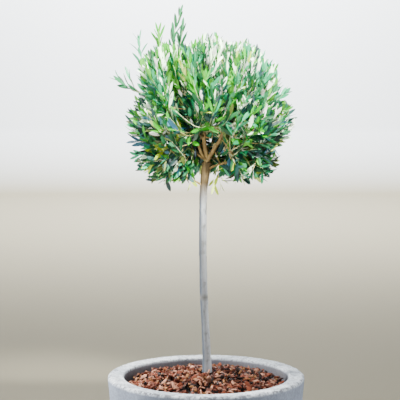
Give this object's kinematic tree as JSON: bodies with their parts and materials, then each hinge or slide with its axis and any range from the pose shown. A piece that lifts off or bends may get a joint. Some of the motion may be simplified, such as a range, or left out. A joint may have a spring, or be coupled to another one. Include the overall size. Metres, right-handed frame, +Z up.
{
  "type": "potted olive tree",
  "caption": "Standard olive tree with a bare grey stem and a loose rounded head, growing in a round tapered concrete planter under a bark mulch.",
  "frame": {"origin": "centre of the planter's flat underside", "axes": "+Z up along the stem, -Y towards the front, where the head is open below and its fork shows, +X to the right seen from the front"},
  "size_m": [0.54, 0.54, 1.4521],
  "materials": {
    "concrete": "matte",
    "soil": "matte",
    "bark_chips": "matte",
    "stem_bark": "matte",
    "bough_bark": "matte",
    "leaves": "satin"
  },
  "bodies": {
    "root": {"bark_mulch": "bark_chips", "bough_back_left": "bough_bark", "bough_back_right": "bough_bark", "bough_left": "bough_bark", "bough_middle": "bough_bark", "bough_right": "bough_bark", "branch_low_left": "bough_bark", "branch_low_right": "bough_bark", "branch_side_left": "bough_bark", "foliage_low_back_left": "leaves", "foliage_low_back_right": "leaves", "foliage_low_left": "leaves", "foliage_low_right": "leaves", "foliage_middle_back_left": "leaves", "foliage_middle_back_right": "leaves", "foliage_middle_front": "leaves", "foliage_middle_front_left": "leaves", "foliage_middle_front_right": "leaves", "foliage_middle_left": "leaves", "foliage_middle_right": "leaves", "foliage_top": "leaves", "foliage_upper_back": "leaves", "foliage_upper_back_left": "leaves", "foliage_upper_back_right": "leaves", "foliage_upper_front": "leaves", "foliage_upper_front_left": "leaves", "foliage_upper_front_right": "leaves", "planter": "concrete", "potting_soil": "soil", "shoot_left": "leaves", "shoot_tall": "leaves", "trunk": "stem_bark"}
  },
  "joints": []
}
